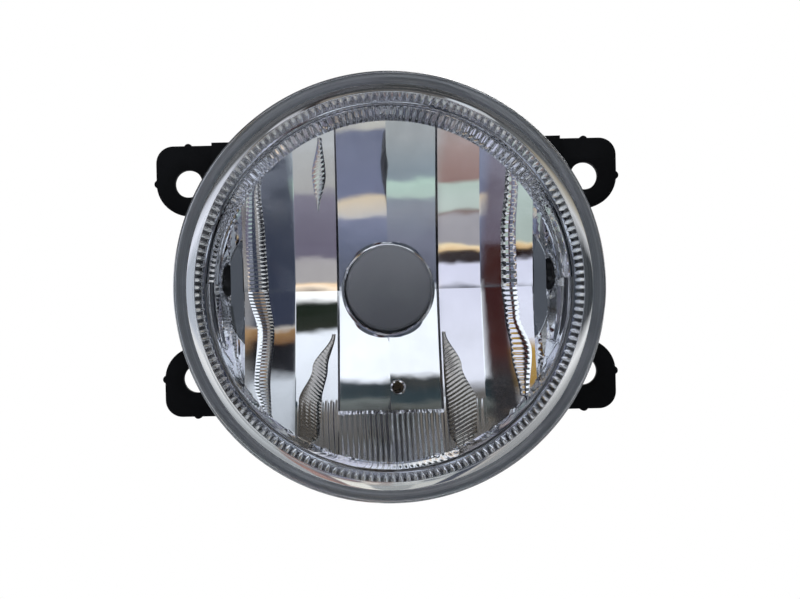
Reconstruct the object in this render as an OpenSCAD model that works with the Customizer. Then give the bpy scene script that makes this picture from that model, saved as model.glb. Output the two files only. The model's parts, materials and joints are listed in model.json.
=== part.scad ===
// Round fog light: a sealed lamp unit that tilts for aim in a four-eared bracket.
// Origin: on the lens axis, where the straight rim of the lens begins.
// +Z is up, the lens faces -Y, and the bulb leaves towards +Y. Sizes are millimetres.

/* [Lens] */
// Outer diameter of the lens rim
lens_d = 90; // [89:0.5:91]
// Length of the straight rim behind the front shoulder
lens_rim_len = 8; // [7.5:0.1:8.4]
// Wall thickness of the glass
lens_wall = 2.6; // [2.2:0.1:2.8]
// Width of the flat band around the dome
lens_band = 4.8; // [4.4:0.1:5.2]
// Rise of the dome above the band
lens_crown = 5.4; // [4:0.2:8]

/* [Reflector] */
// Focal length of the mirror
focal = 19; // [18.8:0.1:19.2]
// Distance of the mirror's vertex behind the origin
vertex_y = 38; // [37.8:0.1:38.2]
// Radius at which the mirror meets its steep side wall
mirror_r = 36.3; // [36:0.1:36.5]
// Thickness of the moulding, measured along the lens axis
shell_t = 2.6; // [2.4:0.1:3]
// Radius of the bulb port
port_r = 10; // [9.9:0.1:10.2]
// Outer radius of the rear neck
neck_r = 15.2; // [14.8:0.1:16]

/* [Bracket] */
// Distance between the upper ear holes
ear_upper_span = 86; // [85:0.5:88]
// Distance between the lower ear holes
ear_lower_span = 84; // [83:0.5:86]
// Height of the upper ear holes above the lens axis
ear_upper_z = 23.75; // [23:0.25:25]
// Height of the lower ear holes, below the lens axis
ear_lower_z = -18.75; // [-20:0.25:-18]
// Diameter of the ear holes
ear_hole_d = 6; // [5:0.1:6.5]
// Distance of the ears' front faces behind the origin
ear_y = 20; // [19.5:0.1:20.5]
// Thickness of the ears
ear_t = 3; // [2.5:0.1:4]
// Inner radius of the bracket's ring
ring_r_in = 42.5; // [42.2:0.1:43]
// Outer radius of the bracket's ring
ring_r_out = 46.5; // [46:0.1:47]

/* [Aim adjustment] */
// Distance of the tilt axis behind the origin
pivot_y = 21; // [20.8:0.1:21.2]
// Height of the tilt axis above the lens axis
pivot_z = 2.5; // [2:0.1:3]
// Diameter of the pivot pins
pivot_d = 5; // [4.6:0.1:5.2]
// Height of the aiming screw, below the lens axis
screw_z = -41; // [-41.2:0.1:-40.8]
// Distance of the ball nut's centre behind the origin
nut_y = 27; // [26.9:0.1:27.2]
// Thread diameter of the aiming screw
thread_d = 4; // [3.6:0.1:4.2]
// Thread pitch of the aiming screw
thread_pitch = 1.5; // [1:0.25:2]

/* [Bulb] */
// Outer radius of the glass capsule
capsule_r = 5.6; // [5:0.1:5.6]
// Outer radius of the bulb's metal collar
collar_r = 7.2; // [7:0.1:7.3]
// Radius of the bulb's three locking lugs
lug_r = 12.4; // [12:0.1:12.4]
// Outer radius of the bulb's grip disc
grip_r = 15; // [14:0.5:16]
// Radius of the glare shield in front of the bulb
shield_r = 9; // [8.9:0.1:9.4]

/* [Hidden] */
$fn = 96;

// Gaps: between parts that are pressed or bonded together, and between running parts
press_gap = 0.02;
run_gap = 0.06;
// Extra length of a cutting shape past the face that it cuts
cut = 0.5;

// Lens
lens_r = lens_d / 2;
corner_r = 1.6;
band_r = lens_r - lens_band;
band_y = -corner_r - 0.4;
apex_y = band_y - lens_crown;
rim_r_in = lens_r - lens_wall;
dome_steps = 12;

// Reflector
rim_y = 1.6;
rim_r = 41.2;
flange_r = lens_r - 0.8;
flange_y0 = lens_rim_len + 0.8;
flange_y1 = flange_y0 + 1.8;
body_r = 40;
lip_edge_r = 40.4;
wall_y1 = 19.5;
mirror_steps = 12;

// Bayonet lock behind the bulb port
channel_y0 = 38.6;
channel_y1 = 41.4;
channel_r = lug_r + 0.4;
slot_r = lug_r + 0.25;
neck_y1 = 43.2;
lip_r = 10.6;
lugs = 3;
lug_angle = 26;
slot_angle = 32;
lock_turn = 45;
slot_turn = 90 + lock_turn;

// Bracket
ring_y0 = 17.5;
ring_y1 = 26.5;
side_x = 45.2;
arm_x = 41.6;
arm_y0 = 16;
arm_half = 5.6;
ear_side = 7;
ear_end = 8.2;
ear_corner = 3.7;
ear_root_x = 34;
rib_gap = 5.2;
rib_depth = 7;
pad_r = 6.3;
pad_h = 0.2;
pip_r = 0.9;
pip_h = 0.5;
tab_half = 13;
tab_y0 = 33.8;
tab_y1 = 37;
tab_z1 = -36.5;
gap_half = 7.6;
leg_z = 41.2;

// Pivots, all on the tilt axis
pin_head_r = 3.4;
pin_head_t = 1;
pin_seat_x = 36.9;
pin_end_x = 44.8;
boss_r = 4.8;
boss_x = 40.7;
bush_r = 3.6;
bush_flange_r = 4.6;
bush_flange_x = 41;

// Aiming screw and its nut
thread_r = thread_d / 2;
thread_y0 = 22;
journal_r = 2.54;
journal_y0 = 32.9;
head_r = 4.5;
head_y0 = 37.3;
head_y1 = 40.5;
hex_flats = 7;
hex_y1 = 44.3;
ball_r = 3.25;
nut_half = 2.2;
ball_cap = asin(nut_half / ball_r);
key_r = 0.7;
key_x = 4.2;
socket_half = 5.4;
key_slot_half = 4.5;
socket_y = 2.6;
socket_top = -36.4;
socket_bottom = -44.6;
socket_ball_r = 3.6;
lug_half = 5.5;
peg_r = 1.2;
peg_h = 2;
relief_r = 2.5;

// Breather
breather_x = 1.6;
breather_z = -21.5;
breather_r = 1.1;
spigot_r = 2.4;
spigot_y1 = 41;
elbow_r = 4;
elbow_y0 = 37.6;
elbow_y1 = 45;
outlet_y = 41.8;
outlet_r = 2.9;
outlet_bore = 1.7;
outlet_z = -31;
filter_len = 3;

// Bulb
capsule_tip = 12;
capsule_back = 33;
capsule_wall = 1;
filament_y = vertex_y - focal;
filament_len = 5;
collar_y0 = 30.5;
base_y0 = 38.6;
spigot_lug_r = 9.9;
spigot_back_r = 9.2;
lug_y0 = 39;
lug_y1 = 41;
grip_y0 = 43.6;
grip_y1 = 46.4;
oring_r = 0.68;
oring_y = 42.4;
shell_x = 7;
shell_y0 = 47.4;
shell_y1 = 60.6;
shell_z0 = -26;
shell_z1 = 4;
shell_wall = 1.4;
socket_x = shell_x - shell_wall;
socket_roof = -12;
terminal_x = 2.4;
terminal_y = 54;
terminal_w = 2.2;
terminal_t = 0.8;
terminal_len = 8.5;

// Glare shield
shield_y0 = 8;
shield_y1 = 10.5;
shield_t = 0.8;
leg_r_in = 7.6;
leg_r_out = 8.8;
leg_w = 0.9;
shield_ring_y0 = 36.4;
shield_ring_y1 = 38.2;
shield_ring_r = 8.5;

// Depth of the mirror's surface at radius r
function mirror_y(r) = vertex_y - r * r / (4 * focal);
// Depth of the moulding's rear surface at radius r
function back_y(r) = vertex_y + shell_t - (r - 1.2) * (r - 1.2) / (4 * focal);
// Points of a dome that rises h above radius r, from the rim to the axis, with the rim at y
function dome(r, y, h) = [for (i = [0 : dome_steps])
    let (q = r * (1 - i / dome_steps)) [q, y - h * (1 - q * q / (r * r))]];
// Points of an arc, as [radius from the axis, depth]
function arc(cx, cy, r, a0, a1, n) = [for (i = [0 : n])
    let (a = a0 + (a1 - a0) * i / n) [cx + r * cos(a), cy + r * sin(a)]];

// Turns the local Z axis to +Y
module along_y() rotate([-90, 0, 0]) children();
// Turns the local Z axis to +X
module along_x() rotate([0, 90, 0]) children();
// Revolves an outline of [radius, depth] points about the lens axis
module turned(points) along_y() rotate_extrude() polygon(points);
// Extrudes an outline drawn in X and Z from y0 to y1
module plate(y0, y1) translate([0, y1, 0]) rotate([90, 0, 0]) linear_extrude(y1 - y0) children();
module both_sides() { children(); mirror([1, 0, 0]) children(); }
// Round bar along Y at [x, z]
module bar_y(x, z, r, y0, y1) translate([x, y0, z]) along_y() cylinder(r = r, h = y1 - y0);
// Round bar along X on the tilt axis
module bar_x(r, x0, x1) translate([x0, pivot_y, pivot_z]) along_x() cylinder(r = r, h = x1 - x0);
// Sector of a ring about the lens axis, centred on the angle a
module sector(r0, r1, y0, y1, a, width)
    along_y() rotate([0, 0, a - width / 2])
        rotate_extrude(angle = width) translate([r0, y0]) square([r1 - r0, y1 - y0]);

// Outline of one upper ear about its hole, with the inner side running into the ring
module ear_outline(x) {
    circle(ear_side);
    translate([-ear_side, 0]) square([2 * ear_side - ear_corner, ear_end]);
    translate([-ear_side, 0]) square([2 * ear_side, ear_end - ear_corner]);
    translate([ear_side - ear_corner, ear_end - ear_corner]) circle(ear_corner);
    translate([ear_root_x - x, -ear_side]) square([x - ear_root_x, ear_side + ear_end]);
    translate([0, ear_end + pip_h - pip_r]) circle(pip_r);
    translate([ear_side + pip_h - pip_r, 0]) circle(pip_r);
}

// Right-hand ear with its hole at [x, 0]
module ear(x) translate([x, 0, 0]) {
    plate(ear_y + pad_h, ear_y + ear_t) ear_outline(x);
    bar_y(0, 0, pad_r, ear_y, ear_y + ear_t);
    translate([ear_root_x - x, ring_y0 + 1, 0]) cube([x - ear_root_x - rib_gap, rib_depth, ear_end + pip_h]);
}

// Ring with flattened sides and a gap at the bottom, and the four ears on it
module bracket_ring() difference() {
    union() {
        intersection() {
            bar_y(0, 0, ring_r_out, ring_y0, ring_y1);
            translate([-side_x, 0, -60]) cube([2 * side_x, 60, 120]);
        }
        both_sides() translate([0, 0, ear_upper_z]) ear(ear_upper_span / 2);
        both_sides() translate([0, 0, ear_lower_z]) mirror([0, 0, 1]) ear(ear_lower_span / 2);
    }
    translate([-gap_half, ring_y0 - cut, -60]) cube([2 * gap_half, 20, 30]);
    bar_y(0, 0, ring_r_in, ring_y0 - cut, ring_y1 + cut);
}

// Plate that carries the aiming screw, on two legs from the ends of the ring
module adjuster_tab() intersection() {
    bar_y(0, 0, ring_r_out, ring_y0, tab_y1);
    union() {
        translate([-tab_half, tab_y0, -60]) cube([2 * tab_half, tab_y1 - tab_y0, 60 + tab_z1]);
        both_sides() translate([gap_half, ring_y1 - 3, -60])
            cube([tab_half - gap_half, tab_y0 - ring_y1 + 4, 60 - leg_z]);
    }
}

module bracket() color([0.05, 0.055, 0.065]) difference() {
    union() {
        bracket_ring();
        both_sides() translate([arm_x, arm_y0, pivot_z - arm_half])
            cube([side_x - arm_x, ring_y1 - arm_y0, 2 * arm_half]);
        adjuster_tab();
    }
    both_sides() {
        bar_x(bush_r + press_gap, arm_x - cut, side_x + cut);
        for (end = [[ear_upper_span / 2, ear_upper_z], [ear_lower_span / 2, ear_lower_z]]) {
            bar_y(end[0], end[1], ear_hole_d / 2, ring_y0 - cut, ring_y1 + cut);
            bar_y(end[0], end[1], pad_r + 0.3, ring_y0 - cut, ear_y);
        }
    }
    bar_y(0, screw_z, 3.4 + press_gap, tab_y0 - cut, tab_y1 + cut);
}

module pivot_bush() color([0.85, 0.83, 0.78]) difference() {
    union() {
        bar_x(bush_r, arm_x, side_x - 0.2);
        bar_x(bush_flange_r, bush_flange_x, arm_x);
    }
    bar_x(pivot_d / 2 + run_gap - press_gap, bush_flange_x - cut, side_x + cut);
}
module pivot_bush_right() pivot_bush();
module pivot_bush_left() mirror([1, 0, 0]) pivot_bush();

module adjuster_bush() color([0.85, 0.83, 0.78]) difference() {
    union() {
        bar_y(0, screw_z, 3.4, tab_y0, tab_y1);
        bar_y(0, screw_z, 4.4, tab_y0 - 0.6, tab_y0);
    }
    bar_y(0, screw_z, journal_r + run_gap, tab_y0 - 1, tab_y1 + 1);
}

module lens() color([0.8, 0.88, 0.92, 0.4]) turned(concat(
    [[rim_r_in, lens_rim_len], [lens_r, lens_rim_len]],
    arc(lens_r - corner_r, 0, corner_r, 0, -90, 5),
    dome(band_r, band_y, lens_crown),
    [[0, apex_y + lens_wall]],
    [for (i = [dome_steps - 1 : -1 : 0]) dome(band_r - 0.4, 0.4, lens_crown - 0.2)[i]],
    [[rim_r_in - 1.6, 0.6], [rim_r_in, 2.2]]
));

module lens_seal() color([0.12, 0.12, 0.13]) turned([
    [rim_r + press_gap, 4], [rim_r_in - press_gap, 4],
    [rim_r_in - press_gap, lens_rim_len + press_gap], [flange_r, lens_rim_len + press_gap],
    [flange_r, flange_y0 - press_gap], [rim_r + press_gap, flange_y0 - press_gap]
]);

// Outside of the moulding, as if it were solid
function shell_outline() = concat(
    [[0, rim_y], [rim_r, rim_y], [rim_r, flange_y0], [flange_r, flange_y0], [flange_r, flange_y1]],
    [[body_r + 0.4, flange_y1], [body_r, wall_y1 + 0.5]],
    [for (i = [0 : mirror_steps]) let (r = 38.6 - (38.6 - 12) * i / mirror_steps) [r, back_y(r)]],
    [[0, back_y(12)]]
);
// Hollow that the mirror encloses
function mirror_outline() = concat(
    [[0, -1], [lip_edge_r, -1], [lip_edge_r, rim_y], [39, 6], [mirror_r + 1, wall_y1]],
    [for (i = [0 : mirror_steps]) let (r = mirror_r * (1 - i / mirror_steps)) [r, mirror_y(r)]]
);

module reflector() color([0.72, 0.74, 0.78]) difference() {
    union() {
        turned(shell_outline());
        bar_y(0, 0, neck_r, 34.5, neck_y1);
        both_sides() bar_x(boss_r, 31, boss_x);
        translate([-lug_half, nut_y - 3.4, socket_top]) cube([2 * lug_half, 6.8, 8]);
        bar_y(breather_x, breather_z, spigot_r, 31, spigot_y1);
    }
    turned(mirror_outline());
    bar_y(0, 0, port_r, 30, channel_y0 + cut);
    bar_y(0, 0, channel_r, channel_y0, channel_y1);
    bar_y(0, 0, lip_r, channel_y1 - cut, neck_y1 + cut);
    for (i = [0 : lugs - 1])
        sector(lip_r - 1, slot_r, channel_y1 - cut, neck_y1 + cut, slot_turn + i * 360 / lugs, slot_angle);
    both_sides() {
        bar_x(pivot_d / 2, 30, boss_x + cut);
        bar_x(pin_head_r + 0.1, 28, pin_seat_x);
    }
    bar_y(breather_x, breather_z, breather_r, 25, spigot_y1 + cut);
    bar_y(0, screw_z, relief_r, wall_y1, 32);
    translate([0, nut_y, socket_top - cut]) cylinder(r = peg_r + press_gap, h = peg_h + 2 * cut);
}

module bulb_shield() color([0.33, 0.33, 0.36]) difference() {
    union() {
        turned([
            [0, shield_y0], [shield_r - 0.5, shield_y0], [shield_r, shield_y0 + 0.5],
            [shield_r, shield_y1], [shield_r - shield_t, shield_y1],
            [shield_r - shield_t, shield_y0 + shield_t], [0, shield_y0 + shield_t]
        ]);
        for (a = [90, 270]) rotate([0, a, 0])
            translate([leg_r_in, shield_y0 + shield_t, -leg_w / 2])
                cube([leg_r_out - leg_r_in, shield_ring_y1 - shield_y0 - shield_t, leg_w]);
        turned([
            [shield_ring_r, shield_ring_y0], [port_r - press_gap, shield_ring_y0],
            [port_r - press_gap, shield_ring_y1], [shield_ring_r, shield_ring_y1]
        ]);
    }
    bar_y(0, 0, collar_r + 0.35, shield_ring_y0 - 1, shield_ring_y1 + cut);
}

module pivot_pin() color([0.75, 0.75, 0.77]) {
    bar_x(pin_head_r, pin_seat_x - pin_head_t, pin_seat_x - press_gap);
    bar_x(pivot_d / 2 - press_gap, pin_seat_x - 0.5, pin_end_x);
}
module pivot_pin_right() pivot_pin();
module pivot_pin_left() mirror([1, 0, 0]) pivot_pin();

module nut_socket() color([0.9, 0.9, 0.88]) difference() {
    union() {
        translate([-socket_half, nut_y - socket_y, socket_bottom])
            cube([2 * socket_half, 2 * socket_y, socket_top - socket_bottom - press_gap]);
        translate([0, nut_y, socket_top - cut]) cylinder(r = peg_r, h = peg_h + cut);
    }
    translate([0, nut_y, screw_z]) sphere(socket_ball_r);
    bar_y(0, screw_z, 2.9, nut_y - 5, nut_y + 5);
    translate([-key_slot_half, nut_y - 5, screw_z - 1.1]) cube([2 * key_slot_half, 10, 2.2]);
    translate([-1.8, nut_y - 5, socket_bottom - 1]) cube([3.6, 10, 3]);
}

module breather_elbow() color([0.09, 0.09, 0.1]) difference() {
    union() {
        bar_y(breather_x, breather_z, elbow_r, elbow_y0, elbow_y1);
        translate([breather_x, outlet_y, outlet_z]) cylinder(r = outlet_r, h = breather_z - outlet_z);
    }
    bar_y(breather_x, breather_z, spigot_r + press_gap, elbow_y0 - cut, spigot_y1 + 2);
    translate([breather_x, outlet_y, outlet_z - cut])
        cylinder(r = outlet_bore, h = breather_z - outlet_z + cut);
}

module breather_filter() color([0.55, 0.55, 0.52])
    translate([breather_x, outlet_y, outlet_z + 0.3]) cylinder(r = outlet_bore - press_gap, h = filter_len);

// Screw thread stood for by a ridge at each pitch
function thread_outline(y0, y1) = let (n = floor((y1 - y0) / thread_pitch)) concat(
    [[0, y0], [thread_r - 0.45, y0]],
    [for (i = [0 : n - 1]) each [
        [thread_r, y0 + (i + 0.4) * thread_pitch], [thread_r, y0 + (i + 0.6) * thread_pitch],
        [thread_r - 0.45, y0 + (i + 1) * thread_pitch]
    ]],
    [[thread_r - 0.45, y1], [0, y1]]
);

module adjuster_screw() color([0.78, 0.68, 0.42]) difference() {
    union() {
        translate([0, 0, screw_z]) turned(thread_outline(thread_y0, journal_y0 - 1));
        bar_y(0, screw_z, thread_r, journal_y0 - 1.2, journal_y0);
        bar_y(0, screw_z, journal_r, journal_y0, head_y0 + 0.2);
        bar_y(0, screw_z, head_r, head_y0, head_y1);
        translate([0, head_y1, screw_z]) along_y()
            cylinder(r = hex_flats / 2 / cos(30), h = hex_y1 - head_y1, $fn = 6);
    }
    for (a = [0, 90]) translate([0, hex_y1 - 2.4, screw_z]) rotate([0, a, 0])
        translate([-2.2, 0, -0.5]) cube([4.4, 3, 1]);
}

module screw_retainer() color([0.55, 0.56, 0.58]) difference() {
    bar_y(0, screw_z, 4, journal_y0 - 0.8, journal_y0 - press_gap);
    bar_y(0, screw_z, thread_r + press_gap, journal_y0 - 2, journal_y0 + 1);
    for (a = [0, 120, 240]) translate([0, journal_y0 - 2, screw_z]) rotate([0, a, 0])
        translate([-0.4, 0, 0]) cube([0.8, 3, 3]);
}

module ball_nut() color([0.86, 0.84, 0.76]) difference() {
    union() {
        translate([0, 0, screw_z]) turned(concat(
            [[1, nut_y - nut_half]], arc(0, nut_y, ball_r, -ball_cap, ball_cap, 8), [[1, nut_y + nut_half]]
        ));
        both_sides() translate([ball_r - 0.6, nut_y, screw_z])
            along_x() cylinder(r = key_r, h = key_x - ball_r + 0.6);
    }
    bar_y(0, screw_z, thread_r + run_gap, nut_y - 5, nut_y + 5);
}

module bulb_capsule() color([0.85, 0.9, 0.95, 0.4]) turned(concat(
    [[0, capsule_tip]],
    arc(0, capsule_tip + capsule_r * 0.8, capsule_r, -53, 0, 6),
    [[capsule_r, capsule_back], [capsule_r - capsule_wall, capsule_back]],
    arc(0, capsule_tip + capsule_r * 0.8, capsule_r - capsule_wall, 0, -60, 6),
    [[0, capsule_tip + capsule_wall]]
));

module bulb_filament() color([0.45, 0.43, 0.4])
    bar_y(0, 0, 0.75, filament_y - filament_len / 2, filament_y + filament_len / 2);

// Wires that carry the filament: a short one behind it and a long one past it
module filament_supports() color([0.6, 0.6, 0.62]) {
    bar_y(0, 1.6, 0.3, filament_y + 3.4, capsule_back + press_gap);
    translate([0, filament_y + 3.4, -0.2]) cylinder(r = 0.3, h = 2.1);
    bar_y(0, 0, 0.3, filament_y + filament_len / 2, filament_y + 3.6);
    bar_y(0, -2.8, 0.3, filament_y - 3.4, capsule_back + press_gap);
    translate([0, filament_y - 3.4, -3.1]) cylinder(r = 0.3, h = 3.3);
    bar_y(0, 0, 0.3, filament_y - 3.6, filament_y - filament_len / 2);
}

module bulb_collar() color([0.76, 0.77, 0.79]) difference() {
    bar_y(0, 0, collar_r, collar_y0, base_y0 - press_gap);
    bar_y(0, 0, capsule_r + press_gap, collar_y0 - 1, capsule_back + press_gap);
}

module bulb_base() color([0.16, 0.16, 0.17]) difference() {
    union() {
        bar_y(0, 0, collar_r + 1, base_y0, lug_y0);
        bar_y(0, 0, spigot_lug_r, lug_y0 - 0.2, lug_y1 + 0.2);
        for (i = [0 : lugs - 1])
            sector(spigot_lug_r - 1, lug_r, lug_y0, lug_y1, 90 + i * 360 / lugs, lug_angle);
        bar_y(0, 0, spigot_back_r, lug_y1, grip_y0 + cut);
        bar_y(0, 0, grip_r, grip_y0, grip_y1);
        bar_y(0, 0, 9.5, grip_y1 - cut, shell_y0 + 1);
        translate([-shell_x, shell_y0, shell_z0])
            cube([2 * shell_x, shell_y1 - shell_y0, shell_z1 - shell_z0]);
        translate([-2.2, shell_y1 - cut, shell_z0 + 2]) cube([4.4, 1.6, 5]);
    }
    translate([-socket_x, shell_y0 + shell_wall, shell_z0 - cut])
        cube([2 * socket_x, shell_y1 - shell_y0 - 2 * shell_wall, socket_roof - shell_z0 + cut]);
    for (a = [15 : 30 : 345]) rotate([0, a, 0]) bar_y(0, grip_r + 1.2, 2.2, grip_y0 - cut, grip_y1 + cut);
}

module bulb_oring() color([0.1, 0.1, 0.1])
    along_y() rotate_extrude()
        translate([spigot_back_r + press_gap + oring_r, oring_y]) circle(oring_r, $fn = 24);

module bulb_terminals() color([0.75, 0.72, 0.6])
    for (s = [-1, 1])
        translate([s * terminal_x - terminal_w / 2, terminal_y - terminal_t / 2, socket_roof - terminal_len])
            cube([terminal_w, terminal_t, terminal_len - press_gap]);

bracket();
pivot_bush_left();
pivot_bush_right();
adjuster_bush();
lens();
lens_seal();
reflector();
bulb_shield();
pivot_pin_left();
pivot_pin_right();
nut_socket();
breather_elbow();
breather_filter();
adjuster_screw();
screw_retainer();
ball_nut();
bulb_capsule();
bulb_filament();
filament_supports();
bulb_collar();
bulb_base();
bulb_oring();
bulb_terminals();
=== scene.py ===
import json
import math
from collections import namedtuple

import bmesh
import bpy
from mathutils import Matrix, Vector

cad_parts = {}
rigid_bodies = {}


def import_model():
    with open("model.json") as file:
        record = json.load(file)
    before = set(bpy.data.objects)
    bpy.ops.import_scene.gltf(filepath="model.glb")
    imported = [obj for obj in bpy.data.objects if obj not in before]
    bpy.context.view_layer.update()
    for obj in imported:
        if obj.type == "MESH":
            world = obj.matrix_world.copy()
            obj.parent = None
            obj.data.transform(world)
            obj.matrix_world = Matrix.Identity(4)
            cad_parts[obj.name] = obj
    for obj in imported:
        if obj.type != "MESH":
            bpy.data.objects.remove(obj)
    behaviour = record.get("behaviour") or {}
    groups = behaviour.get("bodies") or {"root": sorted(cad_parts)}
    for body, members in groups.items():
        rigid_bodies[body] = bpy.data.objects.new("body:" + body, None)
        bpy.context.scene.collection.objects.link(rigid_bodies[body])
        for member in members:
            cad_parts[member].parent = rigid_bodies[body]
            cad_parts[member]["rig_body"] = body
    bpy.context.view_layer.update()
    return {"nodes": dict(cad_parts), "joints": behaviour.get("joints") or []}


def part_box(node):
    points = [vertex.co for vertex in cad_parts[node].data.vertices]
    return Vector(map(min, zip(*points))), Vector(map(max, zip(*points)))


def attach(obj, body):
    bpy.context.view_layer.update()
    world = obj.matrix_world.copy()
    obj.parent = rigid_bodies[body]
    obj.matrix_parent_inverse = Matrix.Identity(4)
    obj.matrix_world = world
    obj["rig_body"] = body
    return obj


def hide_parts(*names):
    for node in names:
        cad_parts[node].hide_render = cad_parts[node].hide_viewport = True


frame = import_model()
MM = 0.001
TAU = 2 * math.pi


# ---------------------------------------------------------------- sizes, in millimetres

def box_mm(node):
    """Lowest and highest corner of a CAD node in millimetres, to the nearest tenth."""
    return [[round(c / MM, 1) for c in corner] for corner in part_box(node)]


LENS_LOW, LENS_HIGH = box_mm("lens")
GAP = 0.02  # the drawn lens stays this far inside the CAD one
RIM_R = LENS_HIGH[0] - GAP
SKIRT_Y = LENS_HIGH[1] - GAP
DOME_Y = LENS_LOW[1]
DOME_R = 40.1  # where the dome ends and the flat band begins
REFLECTOR_Y = box_mm("reflector")[0][1]  # the reflector's front edge
TILT = next(joint for joint in frame["joints"] if joint["name"] == "lamp_tilt")
PIVOT_Y, PIVOT_Z = (c / MM for c in TILT["pos_m"][1:])
ELBOW_LOW, ELBOW_HIGH = box_mm("breather_elbow")
VENT_X = (ELBOW_LOW[0] + ELBOW_HIGH[0]) / 2
VENT_Z = ELBOW_HIGH[2] - (ELBOW_HIGH[0] - VENT_X)
PORT_R = 10.25  # the bulb port in the mirror face
BEAD_COUNT = 162  # beads round the rim


# ---------------------------------------------------------------- materials

def new_material(name):
    mat = bpy.data.materials.new(name)
    mat.use_nodes = True
    tree = mat.node_tree
    return mat, tree, tree.nodes["Principled BSDF"]


def noise(tree, scale, detail=3.0, rough=0.55, stretch=(1, 1, 1)):
    """Noise over the object's own coordinates; scale is in cells per millimetre."""
    coords = tree.nodes.new("ShaderNodeTexCoord")
    mapping = tree.nodes.new("ShaderNodeMapping")
    mapping.inputs["Scale"].default_value = stretch
    tex = tree.nodes.new("ShaderNodeTexNoise")
    tex.inputs["Scale"].default_value = scale / MM
    tex.inputs["Detail"].default_value = detail
    tex.inputs["Roughness"].default_value = rough
    tree.links.new(coords.outputs["Object"], mapping.inputs["Vector"])
    tree.links.new(mapping.outputs["Vector"], tex.inputs["Vector"])
    return tex.outputs["Fac"]


def ramp(tree, value, stops):
    """Colour ramp; stops is a list of (position, colour or grey value)."""
    node = tree.nodes.new("ShaderNodeValToRGB")
    ends = node.color_ramp.elements
    ends[0].position, ends[1].position = stops[0][0], stops[-1][0]
    for pos, _ in stops[1:-1]:
        ends.new(pos)
    for end, (_, colour) in zip(ends, stops):
        rgb = colour if hasattr(colour, "__len__") else (colour,) * 3
        end.color = (*rgb, 1)
    tree.links.new(value, node.inputs["Fac"])
    return node.outputs["Color"]


def span(tree, value, low, high):
    """Stretches low..high to 0..1."""
    node = tree.nodes.new("ShaderNodeMapRange")
    node.inputs["From Min"].default_value = low
    node.inputs["From Max"].default_value = high
    tree.links.new(value, node.inputs["Value"])
    return node.outputs["Result"]


def math_node(tree, operation, *values):
    node = tree.nodes.new("ShaderNodeMath")
    node.operation = operation
    for socket, value in zip(node.inputs, values):
        if isinstance(value, (int, float)):
            socket.default_value = value
        else:
            tree.links.new(value, socket)
    return node.outputs[0]


def mixed(tree, factor, a, b, blend="MIX"):
    """Colour a, with colour b over it by factor."""
    node = tree.nodes.new("ShaderNodeMix")
    node.data_type = "RGBA"
    node.blend_type = blend
    if isinstance(factor, float):
        node.inputs["Factor"].default_value = factor
    else:
        tree.links.new(factor, node.inputs["Factor"])
    tree.links.new(a, node.inputs["A"])
    tree.links.new(b, node.inputs["B"])
    return node.outputs["Result"]


def axes(tree):
    """The object's own X, Y and Z, in metres."""
    coords = tree.nodes.new("ShaderNodeTexCoord")
    split = tree.nodes.new("ShaderNodeSeparateXYZ")
    tree.links.new(coords.outputs["Object"], split.inputs["Vector"])
    return split.outputs


def radius(tree):
    """Distance from the lamp's own middle line, in metres."""
    coords = tree.nodes.new("ShaderNodeTexCoord")
    flat = tree.nodes.new("ShaderNodeVectorMath")
    flat.operation = "MULTIPLY"
    flat.inputs[1].default_value = (1, 0, 1)
    size = tree.nodes.new("ShaderNodeVectorMath")
    size.operation = "LENGTH"
    tree.links.new(coords.outputs["Object"], flat.inputs[0])
    tree.links.new(flat.outputs["Vector"], size.inputs[0])
    return size.outputs["Value"]


def bump(tree, shader, height, strength, distance):
    node = tree.nodes.new("ShaderNodeBump")
    node.inputs["Strength"].default_value = strength
    node.inputs["Distance"].default_value = distance * MM
    tree.links.new(height, node.inputs["Height"])
    tree.links.new(node.outputs["Normal"], shader.inputs["Normal"])


def finish(name, dark, light, rough=(0.4, 0.6), metallic=0.0, grain=2.0, cloud=0.08,
           grain_depth=0.02, strength=0.4, specular=0.5):
    """A moulded, rubber or metal finish: slow colour drift, fine grain, uneven gloss."""
    mat, tree, shader = new_material(name)
    drift = noise(tree, cloud, 4.0)
    fine = noise(tree, grain, 5.0, 0.65)
    tree.links.new(ramp(tree, drift, [(0.35, dark), (0.65, light)]),
                   shader.inputs["Base Color"])
    tree.links.new(ramp(tree, fine, [(0.3, rough[0]), (0.7, rough[1])]),
                   shader.inputs["Roughness"])
    bump(tree, shader, fine, strength, grain_depth)
    shader.inputs["Metallic"].default_value = metallic
    shader.inputs["Specular IOR Level"].default_value = specular
    return mat


def glass(name, tint, ior, calm=1.0):
    """Clear glass; calm is how much of its surface glare the dome keeps."""
    mat, tree, shader = new_material(name)
    drift = noise(tree, 0.05, 2.0)
    deep = tuple(0.985 * c for c in tint)
    tree.links.new(ramp(tree, drift, [(0.3, deep), (0.7, tint)]),
                   shader.inputs["Base Color"])
    shader.inputs["Transmission Weight"].default_value = 1.0
    shader.inputs["IOR"].default_value = ior
    shader.inputs["Roughness"].default_value = 0.0
    if calm < 1.0:
        edge = span(tree, radius(tree), (DOME_R - 0.4) * MM, (DOME_R + 0.5) * MM)
        tree.links.new(ramp(tree, edge, [(0.0, calm), (1.0, 1.0)]),
                       shader.inputs["Specular Tint"])
    return mat


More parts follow.
